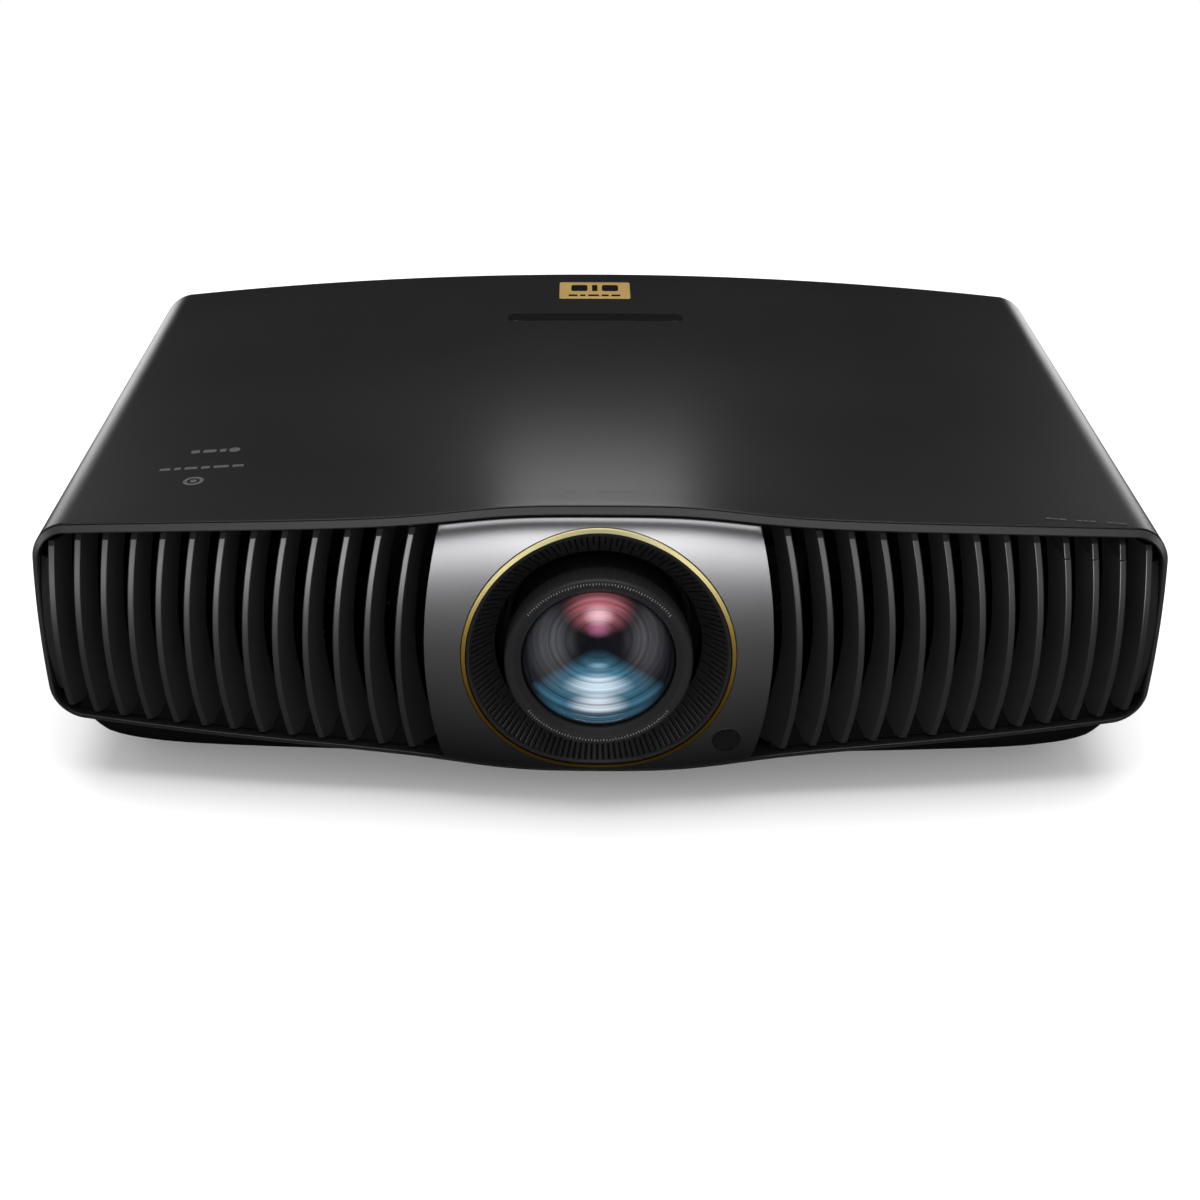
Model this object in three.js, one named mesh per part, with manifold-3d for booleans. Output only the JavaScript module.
// Home-cinema projector, built as an assembly of separate parts.
// Millimetres. +X is to the right seen from the front, the front faces -Y, +Z is up.
// The origin is the centre of the footprint, on the surface the projector stands on.

import * as THREE from 'three';
import { mergeVertices } from 'three/addons/utils/BufferGeometryUtils.js';
import Module from 'manifold-3d';

const wasm = await Module();
wasm.setup();

// ---------------------------------------------------------------- driving dimensions

const CASE_WIDTH = 491;
const HALF_WIDTH = CASE_WIDTH / 2;
const CASE_SIDE_DEPTH = 321;      // front corner to rear corner
const FRONT_BULGE = 17.6;         // how far the front edge bows forward in plan
const REAR_BULGE = 10;            // how far the rear edge bows backward in plan
const LENS_PROUD = 31.4;          // lens front ahead of the front corners

const SEAM_Z = 75;                // joint between the top cover and the lower case
const SIDE_BARREL = 1.2;          // how far the sides lean in, 35 mm above and below the seam
const TOP_EDGE_Z = 125.85;
const BOTTOM_EDGE_Z = 32.7;
const CROWN = 11;                 // rise of the top and drop of the belly at the middle
const TOP_HUMP = 6.9;             // extra rise of the front edge over the lens
const BOTTOM_HUMP = 7.4;
const HUMP_REACH = 67;            // distance from the middle where the hump has halved
const TOP_CORNER = 17;
const BOTTOM_CORNER = 15;

const WALL = 3;
const LIP_WALL = 3.6;             // thickness of the lip round the front opening
const LIP_DEPTH = 14;
const BEVEL_DEPTH = 2.5;
const BEVEL_INSET = 3;
const REAR_ROUND = 14;            // round-over of the rear edge
const REAR_LIP_DEPTH = 5;
const GAP = 0.35;                 // clearance between fitted parts
const SEAM_GAP = 0.4;

const PLINTH_Z = 12;

const LENS_Z = 78;
const LENS_RADIUS = 40;
const RING_OUTER = 58.5;
const RING_INNER = 56.2;
const FUNNEL_INNER = 44.6;

const PANEL_HALF = 74;            // half-width of the lens panel at mid-height
const PANEL_WAIST = 7;            // how much narrower it is at the top and bottom
const PANEL_BULGE = 11;
const PANEL_POWER = 2.2;
const PANEL_WALL = 3;
const PANEL_SETBACK = 0.6;

const BLADE_COUNT = 13;
const BLADE_FIRST_X = 85.8;
const BLADE_PITCH = 13.3;
const BLADE_CLOSING = 0.0058;     // the pitch closes up towards the sides
const BLADE_BOW = 5.2;            // sideways bow of the innermost blade
const BLADE_FACE = 2.8;           // width of the front face
const BLADE_SETBACK = 2.5;
const BLADE_BULGE = 9;
const BLADE_REACH = 9;            // how far a blade slants towards the middle
const BLADE_DEPTH = 11;
const GRILLE_MID_Z = 76;
const GUIDE_BLADES = [9, 10, 11]; // blades of the right grille with a light guide tip
const GUIDE_HEIGHT = 10;

const FRONT_CORNER_Y = -(CASE_SIDE_DEPTH + REAR_BULGE - LENS_PROUD) / 2;
const REAR_CORNER_Y = FRONT_CORNER_Y + CASE_SIDE_DEPTH;
const LENS_FRONT_Y = FRONT_CORNER_Y - LENS_PROUD;

// ---------------------------------------------------------------- colours

const BLACK_PLASTIC = { color: 0x1c1c1d, roughness: 0.5, metalness: 0 };
const BLADE_PLASTIC = { color: 0x18181a, roughness: 0.4, metalness: 0 };
const DARK_PLASTIC = { color: 0x121213, roughness: 0.6, metalness: 0 };
const GLOSS_BLACK = { color: 0x0a0a0a, roughness: 0.12, metalness: 0 };
const GUNMETAL = { color: 0x606063, roughness: 0.35, metalness: 0.8 };
const GOLD = { color: 0xc8a24a, roughness: 0.25, metalness: 1 };
const GLASS = { color: 0x9fb8c8, roughness: 0.02, metalness: 0, transparent: true, opacity: 0.4 };
const STEEL = { color: 0x9a9da0, roughness: 0.4, metalness: 0.9 };
const ALUMINIUM = { color: 0xb4b7ba, roughness: 0.4, metalness: 0.9 };
const BOARD = { color: 0x1f4a2c, roughness: 0.6, metalness: 0 };
const GUIDE = { color: 0x2a2a2c, roughness: 0.3, metalness: 0 };

// ---------------------------------------------------------------- solids and booleans

function closedGeometry(positions, triangles) {
  const geometry = new THREE.BufferGeometry();
  let volume = 0;
  const [a, b, c] = [new THREE.Vector3(), new THREE.Vector3(), new THREE.Vector3()];
  for (let i = 0; i < triangles.length; i += 3) {
    a.fromArray(positions, triangles[i] * 3);
    b.fromArray(positions, triangles[i + 1] * 3);
    c.fromArray(positions, triangles[i + 2] * 3);
    volume += a.dot(b.cross(c));
  }
  const outward = volume > 0 ? triangles : triangles.slice().reverse();
  geometry.setAttribute('position', new THREE.Float32BufferAttribute(positions, 3));
  geometry.setIndex(Array.from(outward));
  geometry.computeVertexNormals();
  return geometry;
}

// Drops the normals and joins vertices that share a place, so that the mesh is closed.
function welded(geometry) {
  const bare = new THREE.BufferGeometry();
  bare.setAttribute('position', geometry.getAttribute('position').clone());
  bare.setIndex(geometry.index ? Array.from(geometry.index.array) : null);
  const joined = mergeVertices(bare, 1e-3);
  const index = Array.from(joined.index.array);
  const triangles = [];
  for (let i = 0; i < index.length; i += 3) {
    const [a, b, c] = index.slice(i, i + 3);
    if (a !== b && b !== c && c !== a) triangles.push(a, b, c);
  }
  return closedGeometry(Array.from(joined.getAttribute('position').array), triangles);
}

function toSolid(geometry) {
  const clean = welded(geometry);
  return new wasm.Manifold(new wasm.Mesh({
    numProp: 3,
    vertProperties: Float32Array.from(clean.getAttribute('position').array),
    triVerts: Uint32Array.from(clean.index.array),
  }));
}

function fromSolid(solid) {
  const mesh = solid.getMesh();
  return closedGeometry(Array.from(mesh.vertProperties), Array.from(mesh.triVerts));
}

function join(...geometries) {
  const solids = geometries.map(toSolid);
  return fromSolid(solids.reduce((whole, next) => whole.add(next)));
}

function cut(geometry, ...tools) {
  const start = toSolid(geometry);
  return fromSolid(tools.map(toSolid).reduce((whole, tool) => whole.subtract(tool), start));
}

function common(geometry, tool) {
  return fromSolid(toSolid(geometry).intersect(toSolid(tool)));
}

// ---------------------------------------------------------------- basic shapes

function block(x, y, z) {
  const geometry = new THREE.BoxGeometry(x[1] - x[0], y[1] - y[0], z[1] - z[0]);
  return geometry.translate((x[0] + x[1]) / 2, (y[0] + y[1]) / 2, (z[0] + z[1]) / 2);
}

// A centred block: size [x, y, z] at centre [x, y, z].
function blockAt(size, centre) {
  return new THREE.BoxGeometry(...size).translate(...centre);
}

// A cylinder from a start point along one axis.
function rod(axis, radius, start, length, segments = 24) {
  const geometry = new THREE.CylinderGeometry(radius, radius, length, segments);
  geometry.translate(0, length / 2, 0);
  if (axis === 'x') geometry.rotateZ(-Math.PI / 2);
  if (axis === 'z') geometry.rotateX(Math.PI / 2);
  return geometry.translate(...start);
}

// Joins closed loops of points into a solid, with flat ends.
function loft(loops) {
  const count = loops[0].length;
  const positions = loops.flat().flatMap((point) => point);
  const triangles = [];
  for (let ring = 0; ring < loops.length - 1; ring += 1) {
    for (let i = 0; i < count; i += 1) {
      const here = ring * count + i;
      const next = ring * count + ((i + 1) % count);
      triangles.push(here, next, here + count);
      triangles.push(next, next + count, here + count);
    }
  }
  const last = (loops.length - 1) * count;
  for (const [a, b, c] of endTriangles(loops[0])) triangles.push(c, b, a);
  for (const [a, b, c] of endTriangles(loops.at(-1))) triangles.push(last + a, last + b, last + c);
  return closedGeometry(positions, triangles);
}

// Fills a flat loop, working in its two widest directions.
function endTriangles(loop) {
  const box = new THREE.Box3().setFromPoints(loop.map((point) => new THREE.Vector3(...point)));
  const size = box.getSize(new THREE.Vector3()).toArray();
  const flat = size.indexOf(Math.min(...size));
  const [u, v] = [0, 1, 2].filter((axis) => axis !== flat);
  const contour = loop.map((point) => new THREE.Vector2(point[u], point[v]));
  const turn = (points) => THREE.ShapeUtils.area(points) > 0;
  const forward = turn(contour);
  return THREE.ShapeUtils.triangulateShape(contour, []).map(([a, b, c]) => (
    turn([contour[a], contour[b], contour[c]]) === forward ? [a, b, c] : [c, b, a]));
}

// Joins loops into a solid that closes on itself, such as a ring.
function loopLoft(loops) {
  const count = loops[0].length;
  const positions = loops.flat().flatMap((point) => point);
  const triangles = [];
  for (let ring = 0; ring < loops.length; ring += 1) {
    const here = ring * count;
    const there = ((ring + 1) % loops.length) * count;
    for (let i = 0; i < count; i += 1) {
      const next = (i + 1) % count;
      triangles.push(here + i, here + next, there + i);
      triangles.push(here + next, there + next, there + i);
    }
  }
  return closedGeometry(positions, triangles);
}

// A solid of revolution about the Y axis: the profile is a list of [radius, y].
function turned(profile, segments = 40) {
  const closed = [...profile, profile[0]].map(([radius, y]) => new THREE.Vector2(radius, y));
  return new THREE.LatheGeometry(closed, segments);
}

// A flat plate cut from an outline in the XZ plane, from y0 to y1.
function plateXZ(points, y0, y1) {
  const shape = new THREE.Shape(points.map(([x, z]) => new THREE.Vector2(x, z)));
  const geometry = new THREE.ExtrudeGeometry(shape, { depth: y1 - y0, bevelEnabled: false });
  return geometry.rotateX(Math.PI / 2).translate(0, y1, 0);
}

function lerp(a, b, t) {
  return a + (b - a) * t;
}

function steps(count) {
  return Array.from({ length: count + 1 }, (_, i) => i / count);
}

// ---------------------------------------------------------------- case surfaces

function frontY(x) {
  return FRONT_CORNER_Y - FRONT_BULGE * (1 - (x / HALF_WIDTH) ** 2);
}

function rearY(x) {
  return REAR_CORNER_Y + REAR_BULGE * (1 - (x / HALF_WIDTH) ** 2);
}

function crown(x) {
  return CROWN * (1 - (x / HALF_WIDTH) ** 2);
}

function hump(x, depth) {
  return (1 - depth) ** 2 / (1 + (x / HUMP_REACH) ** 4);
}

// Heights of the top and the belly; depth runs from 0 at the front to 1 at the rear.
function topZ(x, depth = 0) {
  return TOP_EDGE_Z + crown(x) + TOP_HUMP * hump(x, depth);
}

function bellyZ(x, depth = 0) {
  return BOTTOM_EDGE_Z - crown(x) - BOTTOM_HUMP * hump(x, depth);
}

function leanIn(x, z) {
  return x * (1 - SIDE_BARREL / HALF_WIDTH * Math.min(1.5, ((z - SEAM_Z) / 35) ** 2));
}

// One half of the case outline seen from the front, from the right seam to the left seam.
// up is 1 for the top cover and -1 for the lower case; inset moves the outline inwards.
function halfOutline(up, inset, depth) {
  const height = up > 0 ? topZ : bellyZ;
  const radius = Math.max((up > 0 ? TOP_CORNER : BOTTOM_CORNER) - inset, 1.5);
  const cornerX = HALF_WIDTH - inset - radius;
  const cornerZ = height(cornerX, depth) - up * (inset + radius);
  const seamZ = SEAM_Z + up * SEAM_GAP / 2;
  const right = [[HALF_WIDTH - inset, seamZ]];
  for (const turn of steps(4)) {
    const angle = turn * Math.PI / 2;
    right.push([cornerX + radius * Math.cos(angle), cornerZ + up * radius * Math.sin(angle)]);
  }
  const middle = steps(16).slice(1, -1).map((t) => {
    const x = lerp(cornerX, -cornerX, t);
    return [x, height(x, depth) - up * inset];
  });
  const left = right.map(([x, z]) => [-x, z]).reverse();
  return [...right, ...middle, ...left].map(([x, z]) => [leanIn(x, z), z]);
}

// Section through the shell wall: [depth from 0 to 1, offset along Y, inset].
function shellSection() {
  const quarter = [0, 30, 60, 90].map((degrees) => THREE.MathUtils.degToRad(degrees));
  const inner = REAR_ROUND - WALL;
  return [
    [0, 0, BEVEL_INSET],
    [0, BEVEL_DEPTH, 0],
    [0.25, 0, 0],
    [0.5, 0, 0],
    [0.75, 0, 0],
    ...quarter.map((a) => [1, REAR_ROUND * (Math.sin(a) - 1), REAR_ROUND * (1 - Math.cos(a))]),
    [1, -REAR_LIP_DEPTH, REAR_ROUND],
    ...quarter.slice(1).reverse().map((a) => (
      [1, inner * Math.sin(a) - REAR_ROUND - 3, WALL + inner * (1 - Math.cos(a)) - 0.3])),
    [0.5, 0, WALL],
    [0, LIP_DEPTH, LIP_WALL],
    [0, 0.5, LIP_WALL],
  ];
}

function caseHalf(up) {
  const section = shellSection();
  const outlines = section.map(([depth, , inset]) => halfOutline(up, inset, depth));
  const stations = outlines[0].map((_, i) => section.map(([depth, shift], j) => {
    const [x, z] = outlines[j][i];
    return [x, lerp(frontY(x), rearY(x), depth) + shift, z];
  }));
  return loft(stations);
}

// The lower case as a filled body, grown outwards a little, to cut what lies under it.
function bellyCutter(grow) {
  const loops = [-10, 20, 200, 400].map((run) => {
    const depth = THREE.MathUtils.clamp(run / CASE_SIDE_DEPTH, 0, 1);
    return halfOutline(-1, -grow, depth).map(([x, z]) => [x, FRONT_CORNER_Y + run, z]);
  });
  return loft(loops);
}

// ---------------------------------------------------------------- case parts

const BADGE = { size: [39, 29], y: 140, thick: 0.8 };
const INLAY = { size: [93, 12], y: 94, thick: 0.8 };
const FOOT = { x: 186, frontY: -82, rearY: 128, pad: 19, stud: 4, studTop: 52 };

// A thin plate that follows the crown of the top cover, between two heights below it.
function topPlate(size, y, above, below) {
  const loops = steps(8).map((t) => {
    const x = lerp(-size[0] / 2, size[0] / 2, t);
    const corner = (side, offset) => {
      const depth = (y + side * size[1] / 2 - frontY(x)) / (rearY(x) - frontY(x));
      return [x, y + side * size[1] / 2, topZ(x, depth) + offset];
    };
    return [corner(-1, above), corner(1, above), corner(1, -below), corner(-1, -below)];
  });
  return loft(loops);
}

function topCover() {
  const pocket = ({ size, y, thick }) => {
    const room = size.map((length) => length + 2 * GAP);
    return topPlate(room, y, 2, thick + GAP);
  };
  return cut(caseHalf(1), pocket(BADGE), pocket(INLAY));
}

function footPlaces() {
  return [
    ['front_left', -FOOT.x, FOOT.frontY],
    ['front_right', FOOT.x, FOOT.frontY],
    ['rear_left', -FOOT.x, FOOT.rearY],
    ['rear_right', FOOT.x, FOOT.rearY],
  ];
}

function bottomCase() {
  const bosses = footPlaces().map(([, x, y]) => rod('z', 9, [x, y, 30], 26, 16));
  const holes = footPlaces().map(([, x, y]) => rod('z', FOOT.stud + GAP, [x, y, 5], 48.4, 12));
  return cut(join(caseHalf(-1), ...bosses), ...holes);
}

// The plinth is a slanted tray under the belly; rings are [z, half-width, front inset].
function basePlinth() {
  const rings = [[PLINTH_Z, 221, 22], [14, 225, 19.5], [20, 230, 17], [34, 237, 15.5]];
  const loops = rings.map(([z, half, inset]) => {
    const across = steps(12).map((t) => lerp(-half, half, t));
    const front = across.map((x) => [x, frontY(x) + inset + 8 * (x / half) ** 12, z]);
    const rear = across.reverse().map((x) => [x, REAR_CORNER_Y - inset - 8 * (x / half) ** 12, z]);
    return [...front, ...rear];
  });
  const holes = footPlaces().map(([, x, y]) => rod('z', FOOT.stud + 1, [x, y, 0], 60, 12));
  return cut(loft(loops), bellyCutter(GAP), ...holes);
}

// One foot: a rubber-soled knob on a threaded stud that screws up into the lower case.
function foot() {
  const top = PLINTH_Z - GAP;
  const sole = rod('z', FOOT.pad - 1, [0, 0, 0], 4, 24);
  const knob = rod('z', FOOT.pad, [0, 0, 3], top - 3, 24);
  return join(sole, knob, rod('z', FOOT.stud, [0, 0, top - 1], FOOT.studTop - top + 1, 12));
}

// ---------------------------------------------------------------- front parts

// Height of an edge set in from the case outline; it follows the rounded corners.
function edgeZ(up, x, inset, depth) {
  const radius = Math.max((up > 0 ? TOP_CORNER : BOTTOM_CORNER) - inset, 1.5);
  const cornerX = HALF_WIDTH - inset - radius - SIDE_BARREL;
  const past = THREE.MathUtils.clamp(Math.abs(x) - cornerX, 0, radius * 0.96);
  const drop = radius - Math.sqrt(radius * radius - past * past);
  return (up > 0 ? topZ(x, depth) : bellyZ(x, depth)) - up * (inset + drop);
}

// Height of the inner edge of the front lip, with the clearance of what fits inside it.
function lipZ(up, x) {
  return edgeZ(up, x, LIP_WALL + GAP, 0);
}

function openingMiddle(x) {
  return (lipZ(1, x) + lipZ(-1, x)) / 2;
}

function openingHalf(x) {
  return (lipZ(1, x) - lipZ(-1, x)) / 2;
}

// How far up or down the front opening a point is, from -1 to 1.
function openingShare(x, z) {
  return THREE.MathUtils.clamp((z - openingMiddle(x)) / openingHalf(x), -1, 1);
}

function panelY(x, z) {
  const share = Math.abs(openingShare(x, z)) ** PANEL_POWER;
  return frontY(x) + PANEL_SETBACK - PANEL_BULGE * (1 - share) ** (1 / PANEL_POWER);
}

function lensPanel() {
  const layer = (offset) => (u, v) => {
    const half = PANEL_HALF - PANEL_WAIST * v * v;
    const x = u * half;
    const z = openingMiddle(x) + v * openingHalf(x);
    return [x, panelY(x, z) + offset, z];
  };
  const across = steps(8).map((t) => 2 * t - 1);
  const upward = steps(14).map((t) => Math.sin((t - 0.5) * Math.PI));
  const [front, back] = [layer(0), layer(PANEL_WALL)];
  const loops = across.map((u) => [
    ...upward.map((v) => front(u, v)),
    ...upward.slice().reverse().map((v) => back(u, v)),
  ]);
  const windowCut = rod('y', IR_WINDOW.radius + GAP, [IR_WINDOW.x, -200, IR_WINDOW.z], 50, 20);
  const lensCut = rod('y', RING_OUTER + GAP, [0, -200, LENS_Z], 50, 48);
  return cut(loft(loops), lensCut, windowCut);
}

const IR_WINDOW = { x: 56, z: 36.4, radius: 6.4 };

function irWindow() {
  const y = panelY(IR_WINDOW.x, IR_WINDOW.z);
  return rod('y', IR_WINDOW.radius, [IR_WINDOW.x, y - 0.4, IR_WINDOW.z], 5, 20);
}

// Rings round the lens follow the bulge of the panel: profile gives [radius, offset].
function panelRing(profile, segments = 48) {
  const loops = steps(segments).slice(0, -1).map((turn) => {
    const angle = turn * 2 * Math.PI;
    return profile(angle).map(([radius, y]) => (
      [radius * Math.cos(angle), y, LENS_Z + radius * Math.sin(angle)]));
  });
  return loopLoft(loops);
}

function rimY(angle) {
  return panelY(RING_OUTER * Math.cos(angle), LENS_Z + RING_OUTER * Math.sin(angle));
}

function trimRing() {
  return panelRing((angle) => {
    const y = rimY(angle);
    return [[RING_OUTER, y - 0.5], [RING_INNER, y - 0.5], [RING_INNER, y + 3], [RING_OUTER, y + 3]];
  });
}

const FUNNEL_THROAT_Y = -163.5;

function lensFunnel() {
  const outer = RING_INNER - GAP;
  return panelRing((angle) => {
    const y = rimY(angle);
    return [
      [outer, y + 0.2],
      [outer - 1.2, y + 0.2],
      [FUNNEL_INNER, FUNNEL_THROAT_Y],
      [FUNNEL_INNER, FUNNEL_THROAT_Y + 14],
      [FUNNEL_INNER + 2, FUNNEL_THROAT_Y + 14],
      [FUNNEL_INNER + 2, FUNNEL_THROAT_Y + 4],
      [outer, FUNNEL_THROAT_Y + 4],
    ];
  });
}

// ---------------------------------------------------------------- grilles

function bladeX(index, z) {
  const share = (z - 70) / 52;
  const bow = BLADE_BOW * (1 - (index / BLADE_COUNT) ** 3);
  return BLADE_FIRST_X + BLADE_PITCH * index - BLADE_CLOSING * index ** 3 - bow * share * share;
}

function bladeY(x, z) {
  return frontY(x) + BLADE_SETBACK - BLADE_BULGE * (1 - openingShare(x, z) ** 2);
}

// Section of one blade: a narrow front face and a slab slanting back towards the middle.
function bladeLoop(index, z, side, grow = 0) {
  const x = bladeX(index, z);
  const y = bladeY(x, z);
  const half = BLADE_FACE / 2 + grow;
  const points = [
    [x + half, y - grow],
    [x - half, y - grow],
    [x - half - BLADE_REACH, y + BLADE_DEPTH - grow],
    [x - half - BLADE_REACH + 2.6, y + BLADE_DEPTH + 1.6 + grow],
    [x + half, y + 2.6 + grow],
  ];
  return points.map(([px, py]) => [side * px, py, z]);
}

function blade(index, side) {
  const x = bladeX(index, GRILLE_MID_Z);
  const levels = steps(6).map((t) => openingMiddle(x) + (2 * t - 1) * (openingHalf(x) - 0.8));
  return loft(levels.map((z) => bladeLoop(index, z, side)));
}

// A bar that follows the lip of the opening behind the blades: up is 1 at the top.
function rail(up, side) {
  const edge = (x) => openingMiddle(x) + up * (openingHalf(x) - 0.4);
  const loops = steps(8).map((t) => {
    const x = lerp(BLADE_FIRST_X - 9, HALF_WIDTH - 14, t);
    const [y, z] = [frontY(x), edge(x)];
    return [[8, 0], [15, 0], [15, 6], [8, 6]].map(([dy, dz]) => [side * x, y + dy, z - up * dz]);
  });
  return loft(loops);
}

// The floor between the blades slopes up to the rear from the lower lip.
function grilleFloor(side) {
  const loops = steps(8).map((t) => {
    const x = lerp(BLADE_FIRST_X - 9, HALF_WIDTH - 14, t);
    const [y, z] = [frontY(x), openingMiddle(x) - openingHalf(x) + 0.4];
    return [[5, 0], [8.5, 0], [19, 22], [16.5, 23]].map(([dy, dz]) => [side * x, y + dy, z + dz]);
  });
  return loft(loops);
}

// The cheek closes the grille between its last blade and the side of the case.
function cheek(side) {
  const levels = steps(4).map((t) => lerp(46, 111, t));
  return loft(levels.map((z) => {
    const x = bladeX(BLADE_COUNT - 1, z);
    const y = bladeY(x, z);
    const wall = leanIn(HALF_WIDTH - LIP_WALL - GAP, z);
    const points = [[x, y + 1.6], [wall, y + 6], [wall, y + 9], [x, y + 4.6]];
    return points.map(([px, py]) => [side * px, py, z]);
  }));
}

// The region of a blade tip, above a cut that climbs from the front face to the rear.
function guideRegion(index, shrink) {
  const x = bladeX(index, topZ(0) - 20);
  const top = openingMiddle(x) + openingHalf(x);
  const cutZ = top - GUIDE_HEIGHT + shrink;
  const y = frontY(x);
  const [near, far] = [y - 12, y + 30];
  const climbed = top - 2.5 + shrink;
  const side = [[cutZ, near], [cutZ, y - 1], [climbed, y + 7.5], [climbed, far], [top + 5, far],
    [top + 5, near]];
  const [left, right] = [x - BLADE_PITCH + 0.4, x + 3.2];
  return loft([left, right].map((px) => side.map(([z, py]) => [px, py, z])));
}

function grille(side) {
  let body = join(rail(1, side), cheek(side), grilleFloor(side), rail(-1, side));
  for (let index = 0; index < BLADE_COUNT; index += 1) {
    body = join(body, blade(index, side));
  }
  return body;
}

function leftGrille() {
  return grille(-1);
}

function rightGrille() {
  const tips = GUIDE_BLADES.map((index) => guideRegion(index, 0));
  return cut(grille(1), ...tips);
}

function lightGuide(index) {
  return common(blade(index, 1), guideRegion(index, GAP));
}

// ---------------------------------------------------------------- rear of the case

const TERMINAL_WINDOW = { x: [-60, 118], z: [43, 73] };
const FILTER_WINDOW = { x: [-118, 118], z: [84, 112] };
const KEY_WINDOW = { x: [146, 212], z: [54, 92] };
const INLET = { x: -160, z: 62, size: [32, 24], hollow: [24.5, 16.8], mouthY: 177 };
const PORT_MOUTH_Y = 171;
const PORT_BACK_Y = 150;
const BOARD_TOP_Z = 50;

// Connectors on the terminal plate: [name, x, outer width and height, hollow width and height].
const PORTS = [
  ['hdmi_port_1', -42, [17, 8], [15, 5.6]],
  ['hdmi_port_2', -16, [17, 8], [15, 5.6]],
  ['lan_port', 35, [17, 15], [12.4, 10.5]],
];

const ROUND_KEYS = [
  ['power_key', 163, 82, 4.2],
  ['menu_key', 163, 64, 4.2],
  ['ok_key', 193, 73, 5.5],
];
const ARROW_KEYS = [
  ['key_up', 193, 84.5, [9, 6]],
  ['key_down', 193, 61.5, [9, 6]],
  ['key_left', 181.5, 73, [6, 9]],
  ['key_right', 204.5, 73, [6, 9]],
];

// A rectangular plate that follows the rear curve, between two depths behind its edge.
function curvedPlate({ x, z }, outer, inner) {
  return loft(steps(8).map((t) => {
    const px = lerp(x[0], x[1], t);
    const [near, far] = [rearY(px) - outer, rearY(px) - inner];
    return [[px, near, z[0]], [px, near, z[1]], [px, far, z[1]], [px, far, z[0]]];
  }));
}

function windowTool({ x, z }, grow = 0) {
  return block([x[0] - grow, x[1] + grow], [130, 200], [z[0] - grow, z[1] + grow]);
}

function rearPanel() {
  const inset = REAR_ROUND + GAP;
  const end = HALF_WIDTH - inset - SIDE_BARREL - 0.6;
  const loops = steps(20).map((t) => {
    const x = lerp(-end, end, t);
    const [low, high] = [edgeZ(-1, x, inset, 1), edgeZ(1, x, inset, 1)];
    const [outer, inner] = [rearY(x) - 1.5, rearY(x) - 4.5];
    return [[x, outer, low], [x, outer, high], [x, inner, high], [x, inner, low]];
  });
  const inlet = { x: [INLET.x - 16, INLET.x + 16], z: [INLET.z - 12, INLET.z + 12] };
  return cut(
    loft(loops),
    windowTool(TERMINAL_WINDOW),
    windowTool(FILTER_WINDOW, GAP),
    windowTool(KEY_WINDOW, GAP),
    windowTool(inlet, GAP),
  );
}

function filterCover() {
  const slots = steps(15).map((t) => blockAt([5, 20, 20], [lerp(-108, 108, t), 180, 98]));
  return cut(curvedPlate(FILTER_WINDOW, 1, 4.5), ...slots);
}

function portZ(outer) {
  return BOARD_TOP_Z + outer[1] / 2;
}

function terminalPlate() {
  const plate = block([-64, 122], [167, 168.5], [40, 76]);
  const holes = PORTS.map(([, x, outer]) => (
    blockAt([outer[0] + 2 * GAP, 10, outer[1] + 2 * GAP], [x, 168, portZ(outer)])));
  return cut(plate, ...holes);
}

function port([, x, outer, hollow]) {
  const middle = (PORT_BACK_Y + PORT_MOUTH_Y) / 2;
  const shell = blockAt([outer[0], PORT_MOUTH_Y - PORT_BACK_Y, outer[1]], [x, middle, portZ(outer)]);
  const mouth = blockAt([hollow[0], 24, hollow[1]], [x, PORT_MOUTH_Y, portZ(outer)]);
  return cut(shell, mouth);
}

function acInlet() {
  const [width, height] = INLET.size;
  const body = blockAt([width, 26, height], [INLET.x, INLET.mouthY - 13, INLET.z]);
  const mouth = blockAt([INLET.hollow[0], 32, INLET.hollow[1]], [INLET.x, INLET.mouthY, INLET.z]);
  return cut(body, mouth);
}

function roundKey([, x, z, radius]) {
  return rod('y', radius, [x, rearY(x) - 8, z], 7.8, 20);
}

function arrowKey([, x, z, size]) {
  return blockAt([size[0], 7.8, size[1]], [x, rearY(x) - 4.1, z]);
}

function keyPlate() {
  const round = ROUND_KEYS.map(([, x, z, radius]) => rod('y', radius + GAP, [x, 150, z], 50, 20));
  const arrows = ARROW_KEYS.map(([, x, z, size]) => (
    blockAt([size[0] + 2 * GAP, 60, size[1] + 2 * GAP], [x, 170, z])));
  return cut(curvedPlate(KEY_WINDOW, 1.2, 5), ...round, ...arrows);
}

// ---------------------------------------------------------------- lens, round its own axis

const BARREL_KNURL_END_Y = LENS_FRONT_Y + 12.5;
const MODULE = 1.25;
const RING_TEETH = 80;
const PINION_TEETH = 12;
const RING_PITCH = MODULE * RING_TEETH / 2;
const PINION_PITCH = MODULE * PINION_TEETH / 2;
const FOCUS_GEAR = { y: [-140, -130], turn: 100, pinionAt: -25 };
const ZOOM_GEAR = { y: [-122, -112], turn: 80, pinionAt: 205 };
const STAGE_FRONT_Y = -81.7;

function frontBarrel() {
  return turned([
    [35.6, LENS_FRONT_Y],
    [39.2, LENS_FRONT_Y],
    [LENS_RADIUS, LENS_FRONT_Y + 0.8],
    [LENS_RADIUS, BARREL_KNURL_END_Y],
    [38.6, BARREL_KNURL_END_Y],
    [38.6, -112],
    [36, -112],
    [36, LENS_FRONT_Y + 18],
    [33, LENS_FRONT_Y + 16],
    [33, LENS_FRONT_Y + 3.4],
  ]);
}

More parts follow.
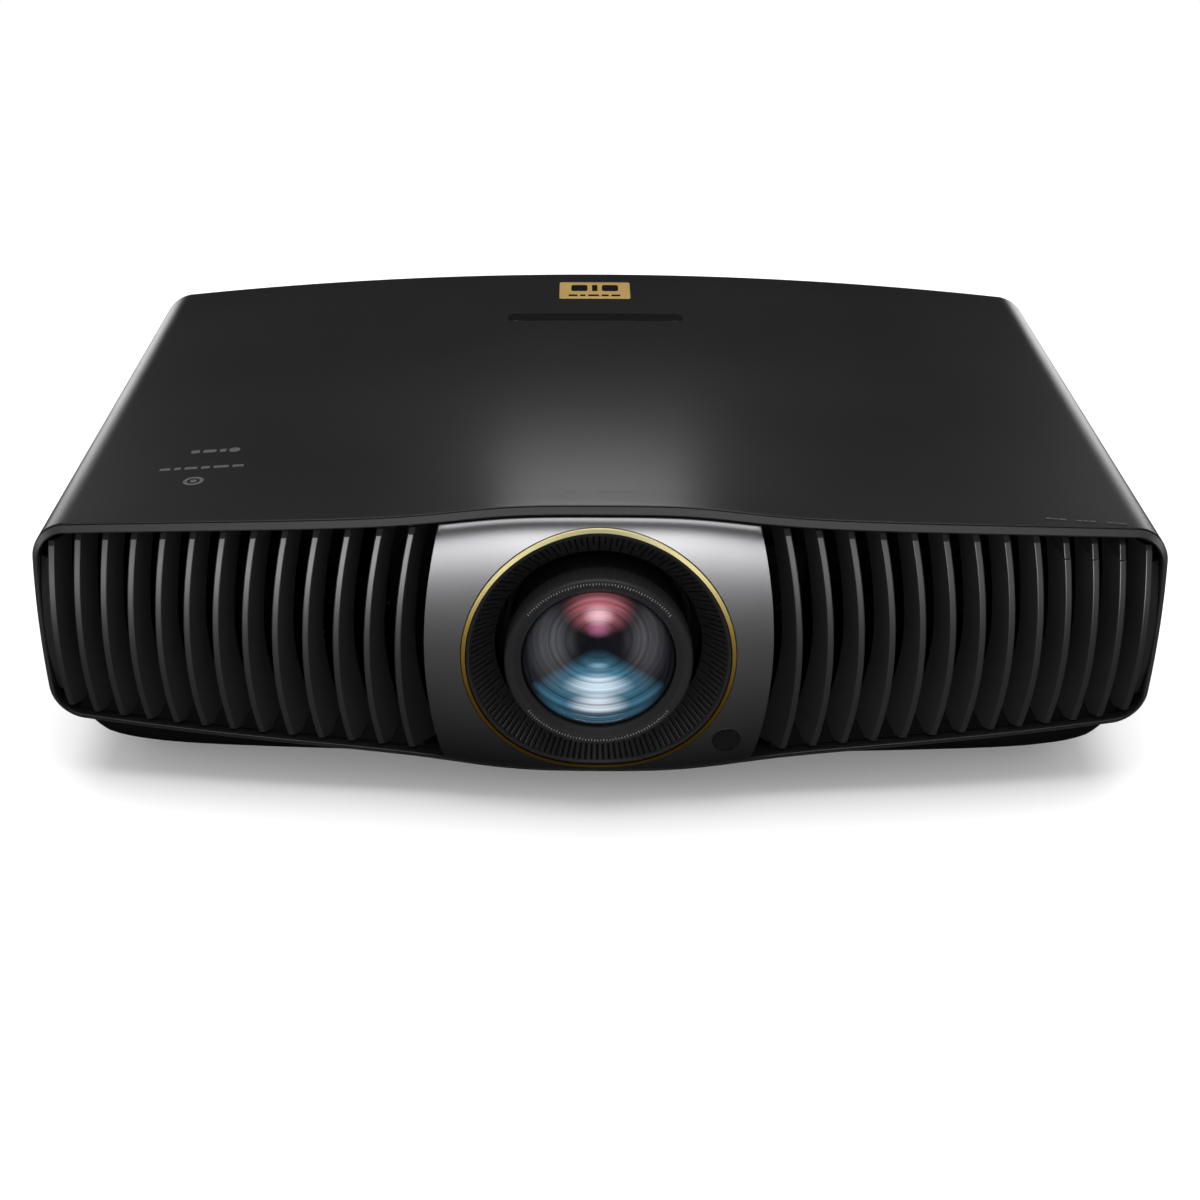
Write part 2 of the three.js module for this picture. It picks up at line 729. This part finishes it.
function frontGlass() {
  return turned([
    [0, LENS_FRONT_Y + 2],
    [12, LENS_FRONT_Y + 2.8],
    [22, LENS_FRONT_Y + 4.6],
    [32.6, LENS_FRONT_Y + 8],
    [32.6, LENS_FRONT_Y + 12],
    [0, LENS_FRONT_Y + 15],
  ], 28);
}

function lensBarrel() {
  return turned([
    [39, -146],
    [41, -146],
    [41, -94],
    [48, -94],
    [48, STAGE_FRONT_Y - GAP],
    [36, STAGE_FRONT_Y - GAP],
    [31, -62],
    [31, -20],
    [28, -20],
    [28, -66],
    [39, -94],
  ]);
}

// Outline of a gear: straight-flanked teeth over a sector, plain root circle elsewhere.
function gearOutline(teeth, from, to, phase = 0) {
  const pitch = MODULE * teeth / 2;
  const [root, tip] = [pitch - 1.3, pitch + 0.9];
  const flank = [[root, -1], [tip, -0.35], [tip, 0.35], [root, 1]];
  const points = [];
  for (let tooth = 0; tooth < teeth; tooth += 1) {
    const angle = 2 * Math.PI * tooth / teeth + phase;
    const degrees = THREE.MathUtils.radToDeg(angle - phase);
    const toothed = (degrees >= from && degrees <= to) || to - from >= 360;
    if (!toothed && tooth % 2) continue;
    for (const [radius, side] of toothed ? flank : [[root, 0]]) {
      const turn = angle + side / pitch;
      points.push([radius * Math.cos(turn), radius * Math.sin(turn)]);
    }
  }
  return points;
}

// A ring with teeth over the arc that its pinion runs along, with one tooth facing the pinion.
function geared({ y, turn, pinionAt }, bore) {
  const step = 360 / RING_TEETH;
  const spare = 3;
  const facing = Math.ceil(turn / step) + spare;
  const blank = plateXZ(gearOutline(RING_TEETH, 0, (facing + spare) * step), y[0], y[1]);
  blank.rotateY(THREE.MathUtils.degToRad(facing * step - pinionAt));
  return cut(blank, rod('y', bore, [0, y[0] - 5, 0], 30, 32));
}

function pinion({ y, pinionAt }) {
  const half = Math.PI / PINION_TEETH;
  const facing = THREE.MathUtils.degToRad(pinionAt + 180);
  const outline = gearOutline(PINION_TEETH, 0, 360, facing + half);
  return join(plateXZ(outline, y[0], y[1]), rod('y', 1.6, [0, y[0] + 1, 0], -105.3 - y[0] - 1, 12));
}

function gearPlace({ pinionAt }) {
  const angle = THREE.MathUtils.degToRad(pinionAt);
  const reach = RING_PITCH + PINION_PITCH;
  return [reach * Math.cos(angle), 0, reach * Math.sin(angle)];
}

function gearMotor() {
  return rod('y', 9, [0, -105, 0], STAGE_FRONT_Y - GAP + 105, 20);
}

// ---------------------------------------------------------------- lens shift

const SHIFT_SCREW = { radius: 2.2, clearance: 2.6 };
const V_SCREW = { x: 90, y: -77.8 };
const H_SCREW = { y: -69.5, z: 50 };

function verticalStage() {
  const plate = block([-72, 72], [STAGE_FRONT_Y, -76.7], [34, 122]);
  const tab = block([70, 96], [STAGE_FRONT_Y, -76.7], [70, 86]);
  const nut = block([84, 96], [-83, -72.6], [72, 84]);
  return cut(
    join(plate, tab, nut),
    rod('y', 37, [0, -100, LENS_Z], 60, 28),
    rod('z', SHIFT_SCREW.clearance, [V_SCREW.x, V_SCREW.y, 60], 40, 12),
  );
}

function horizontalStage() {
  const plate = block([-98, 98], [-72, -67], [32, 124]);
  const guides = [-1, 1].flatMap((side) => [[32, 60], [96, 124]].map((span) => {
    const x = side > 0 ? [72.6, 79] : [-79, -72.6];
    return block(x, [-82, -71], span);
  }));
  const nut = block([-98, -86], [-75, -64], [44, 56]);
  return cut(
    join(plate, nut, ...guides),
    rod('y', 42, [0, -100, LENS_Z], 60, 28),
    rod('x', SHIFT_SCREW.clearance, [-110, H_SCREW.y, H_SCREW.z], 40, 12),
  );
}

function lensMountBracket() {
  const plate = block([-100, 100], [-63, -58], [27, 129]);
  const arm = block([-156, -99], [-63, -58], [40, 60]);
  const guides = [[27, 31.4], [124.6, 129]].map((span) => block([-100, 100], [-72, -62], span));
  return cut(join(plate, arm, ...guides), rod('y', 44, [0, -100, LENS_Z], 60, 28));
}

// ---------------------------------------------------------------- cooling and light

const FAN = { x: 150, z: 80, size: 80, y: [-128, -103], bore: 38, hub: 14 };

function fanFrame() {
  const half = FAN.size / 2;
  const frame = cut(
    block([-half, half], FAN.y, [-half, half]),
    rod('y', FAN.bore, [0, FAN.y[0] - 5, 0], 40, 24),
  );
  const back = [FAN.y[1] - 3, FAN.y[1]];
  const arms = [block([-39, 39], back, [-2, 2]), block([-2, 2], back, [-39, 39])];
  return join(frame, rod('y', FAN.hub, [0, back[0], 0], 3, 16), ...arms);
}

function fanRotor() {
  const blades = steps(7).slice(0, -1).map((turn) => {
    const leaf = new THREE.BoxGeometry(24, 1.2, 17).rotateX(0.7).translate(24.5, -116, 0);
    return leaf.rotateY(turn * 2 * Math.PI);
  });
  return join(rod('y', FAN.hub, [0, FAN.y[0] + 2, 0], 19, 16), ...blades);
}

function finned(x, y, z, fins, base) {
  const pitch = (x[1] - x[0]) / fins;
  const leaves = steps(fins - 1).map((t) => {
    const left = lerp(x[0], x[1] - pitch / 3, t);
    return block([left, left + pitch / 3], y, z);
  });
  return join(block(x, y, [z[0], z[0] + base]), ...leaves);
}

function chassisTray() {
  const sheet = block([-212, 212], [-132, 150], [38, 39.5]);
  const lensBay = block([-104, 104], [-140, -40], [30, 50]);
  const armBay = block([-160, -100], [-80, -50], [30, 50]);
  const bosses = footPlaces().map(([, x, y]) => rod('z', 10, [x, y, 30], 20, 12));
  return cut(sheet, lensBay, armBay, ...bosses);
}

function lightEngine() {
  const body = block([-60, 60], [-16, 62], [41, 104]);
  const hood = block([-38, 38], [-10, 50], [103, 114]);
  const inlet = block([-72, -59], [8, 42], [58, 92]);
  return cut(join(body, hood, inlet), rod('y', 24, [0, -30, LENS_Z], 60, 24));
}

function phosphorWheel() {
  const disc = rod('x', 28, [-77, 0, 0], 1.2, 28);
  return join(disc, rod('x', 8, [-81.5, 0, 0], 6, 20));
}

function wheelMotor() {
  return rod('x', 12, [-96, 0, 0], 14, 20);
}

function laserModule() {
  const head = block([-151, -102], [0, 50], [41, 84]);
  return join(head, finned([-206, -150], [-10, 60], [41, 100], 8, 8), rod('x', 9, [-103, 25, 60], 5, 20));
}

function powerSupply() {
  const parts = [
    block([90, 130], [-20, 20], [45, 84]),
    block([140, 190], [-22, 8], [45, 74]),
    block([150, 180], [24, 70], [45, 80]),
    ...steps(3).map((t) => rod('z', 9, [100, lerp(36, 76, t), 45], 34, 16)),
  ];
  return join(block([78, 200], [-30, 88], [44, 46]), ...parts);
}

function mainBoard() {
  const chips = [[-40, 118, 26], [0, 112, 34], [50, 120, 22], [84, 110, 18]];
  const parts = chips.map(([x, y, size]) => blockAt([size, size, 4], [x, y, 50]));
  return join(block([-70, 128], [92, 165.5], [47.6, 49.2]), ...parts);
}

// ---------------------------------------------------------------- assembly

const projector = new THREE.Group();
const lens = new THREE.Group();
lens.position.set(0, 0, LENS_Z);
projector.add(lens);

function add(name, geometry, look, place = [0, 0, 0], parent = projector) {
  const mesh = new THREE.Mesh(geometry, new THREE.MeshStandardMaterial(look));
  mesh.name = name;
  mesh.position.set(...place);
  parent.add(mesh);
}

add('top_cover', topCover(), BLACK_PLASTIC);
add('bottom_case', bottomCase(), BLACK_PLASTIC);
add('base_plinth', basePlinth(), DARK_PLASTIC);
add('left_grille', leftGrille(), BLADE_PLASTIC);
add('right_grille', rightGrille(), BLADE_PLASTIC);
GUIDE_BLADES.forEach((index, i) => add(`status_light_guide_${i + 1}`, lightGuide(index), GUIDE));
add('lens_panel', lensPanel(), GUNMETAL);
add('lens_trim_ring', trimRing(), GOLD);
add('lens_funnel', lensFunnel(), DARK_PLASTIC);
add('ir_window', irWindow(), GLOSS_BLACK);
add('top_badge', topPlate(BADGE.size, BADGE.y, 0.1, BADGE.thick), GOLD);
add('top_inlay', topPlate(INLAY.size, INLAY.y, 0.1, INLAY.thick), GLOSS_BLACK);
for (const [place, x, y] of footPlaces()) {
  add(`foot_${place}`, foot(), DARK_PLASTIC, [x, y, 0]);
}

add('rear_panel', rearPanel(), DARK_PLASTIC);
add('filter_cover', filterCover(), DARK_PLASTIC);
add('terminal_plate', terminalPlate(), STEEL);
for (const spec of PORTS) add(spec[0], port(spec), STEEL);
add('ac_inlet', acInlet(), DARK_PLASTIC);
add('key_plate', keyPlate(), GLOSS_BLACK);
for (const spec of ROUND_KEYS) add(spec[0], roundKey(spec), DARK_PLASTIC);
for (const spec of ARROW_KEYS) add(spec[0], arrowKey(spec), DARK_PLASTIC);

add('front_barrel', frontBarrel(), DARK_PLASTIC, [0, 0, 0], lens);
add('front_glass', frontGlass(), GLASS, [0, 0, 0], lens);
add('lens_barrel', lensBarrel(), DARK_PLASTIC, [0, 0, 0], lens);
add('focus_ring', geared(FOCUS_GEAR, 41.4), DARK_PLASTIC, [0, 0, 0], lens);
add('zoom_ring', geared(ZOOM_GEAR, 41.4), DARK_PLASTIC, [0, 0, 0], lens);
add('focus_pinion', pinion(FOCUS_GEAR), STEEL, gearPlace(FOCUS_GEAR), lens);
add('zoom_pinion', pinion(ZOOM_GEAR), STEEL, gearPlace(ZOOM_GEAR), lens);
add('focus_motor', gearMotor(), STEEL, gearPlace(FOCUS_GEAR), lens);
add('zoom_motor', gearMotor(), STEEL, gearPlace(ZOOM_GEAR), lens);

add('vertical_shift_stage', verticalStage(), ALUMINIUM);
add('horizontal_shift_stage', horizontalStage(), ALUMINIUM);
add('lens_mount_bracket', lensMountBracket(), ALUMINIUM);
add('vertical_shift_screw', rod('z', SHIFT_SCREW.radius, [0, 0, 52.3], 66, 12), STEEL,
  [V_SCREW.x, V_SCREW.y, 0]);
add('vertical_shift_motor', rod('z', 5, [0, 0, 34], 18, 16), STEEL, [V_SCREW.x, V_SCREW.y, 0]);
add('horizontal_shift_screw', rod('x', SHIFT_SCREW.radius, [-136, 0, 0], 45, 12), STEEL,
  [0, H_SCREW.y, H_SCREW.z]);
add('horizontal_shift_motor', rod('x', 6, [-156, 0, 0], 19.7, 16), STEEL,
  [0, H_SCREW.y, H_SCREW.z]);

for (const [side, x] of [['left', -FAN.x], ['right', FAN.x]]) {
  add(`fan_frame_${side}`, fanFrame(), DARK_PLASTIC, [x, 0, FAN.z]);
  add(`fan_rotor_${side}`, fanRotor(), DARK_PLASTIC, [x, 0, FAN.z]);
}
add('chassis_tray', chassisTray(), STEEL);
add('light_engine', lightEngine(), ALUMINIUM);
add('laser_module', laserModule(), ALUMINIUM);
add('phosphor_wheel', phosphorWheel(), ALUMINIUM, [0, 25, 75]);
add('wheel_motor', wheelMotor(), STEEL, [0, 25, 75]);
add('power_supply_board', powerSupply(), BOARD);
add('main_board', mainBoard(), BOARD);

export default projector;
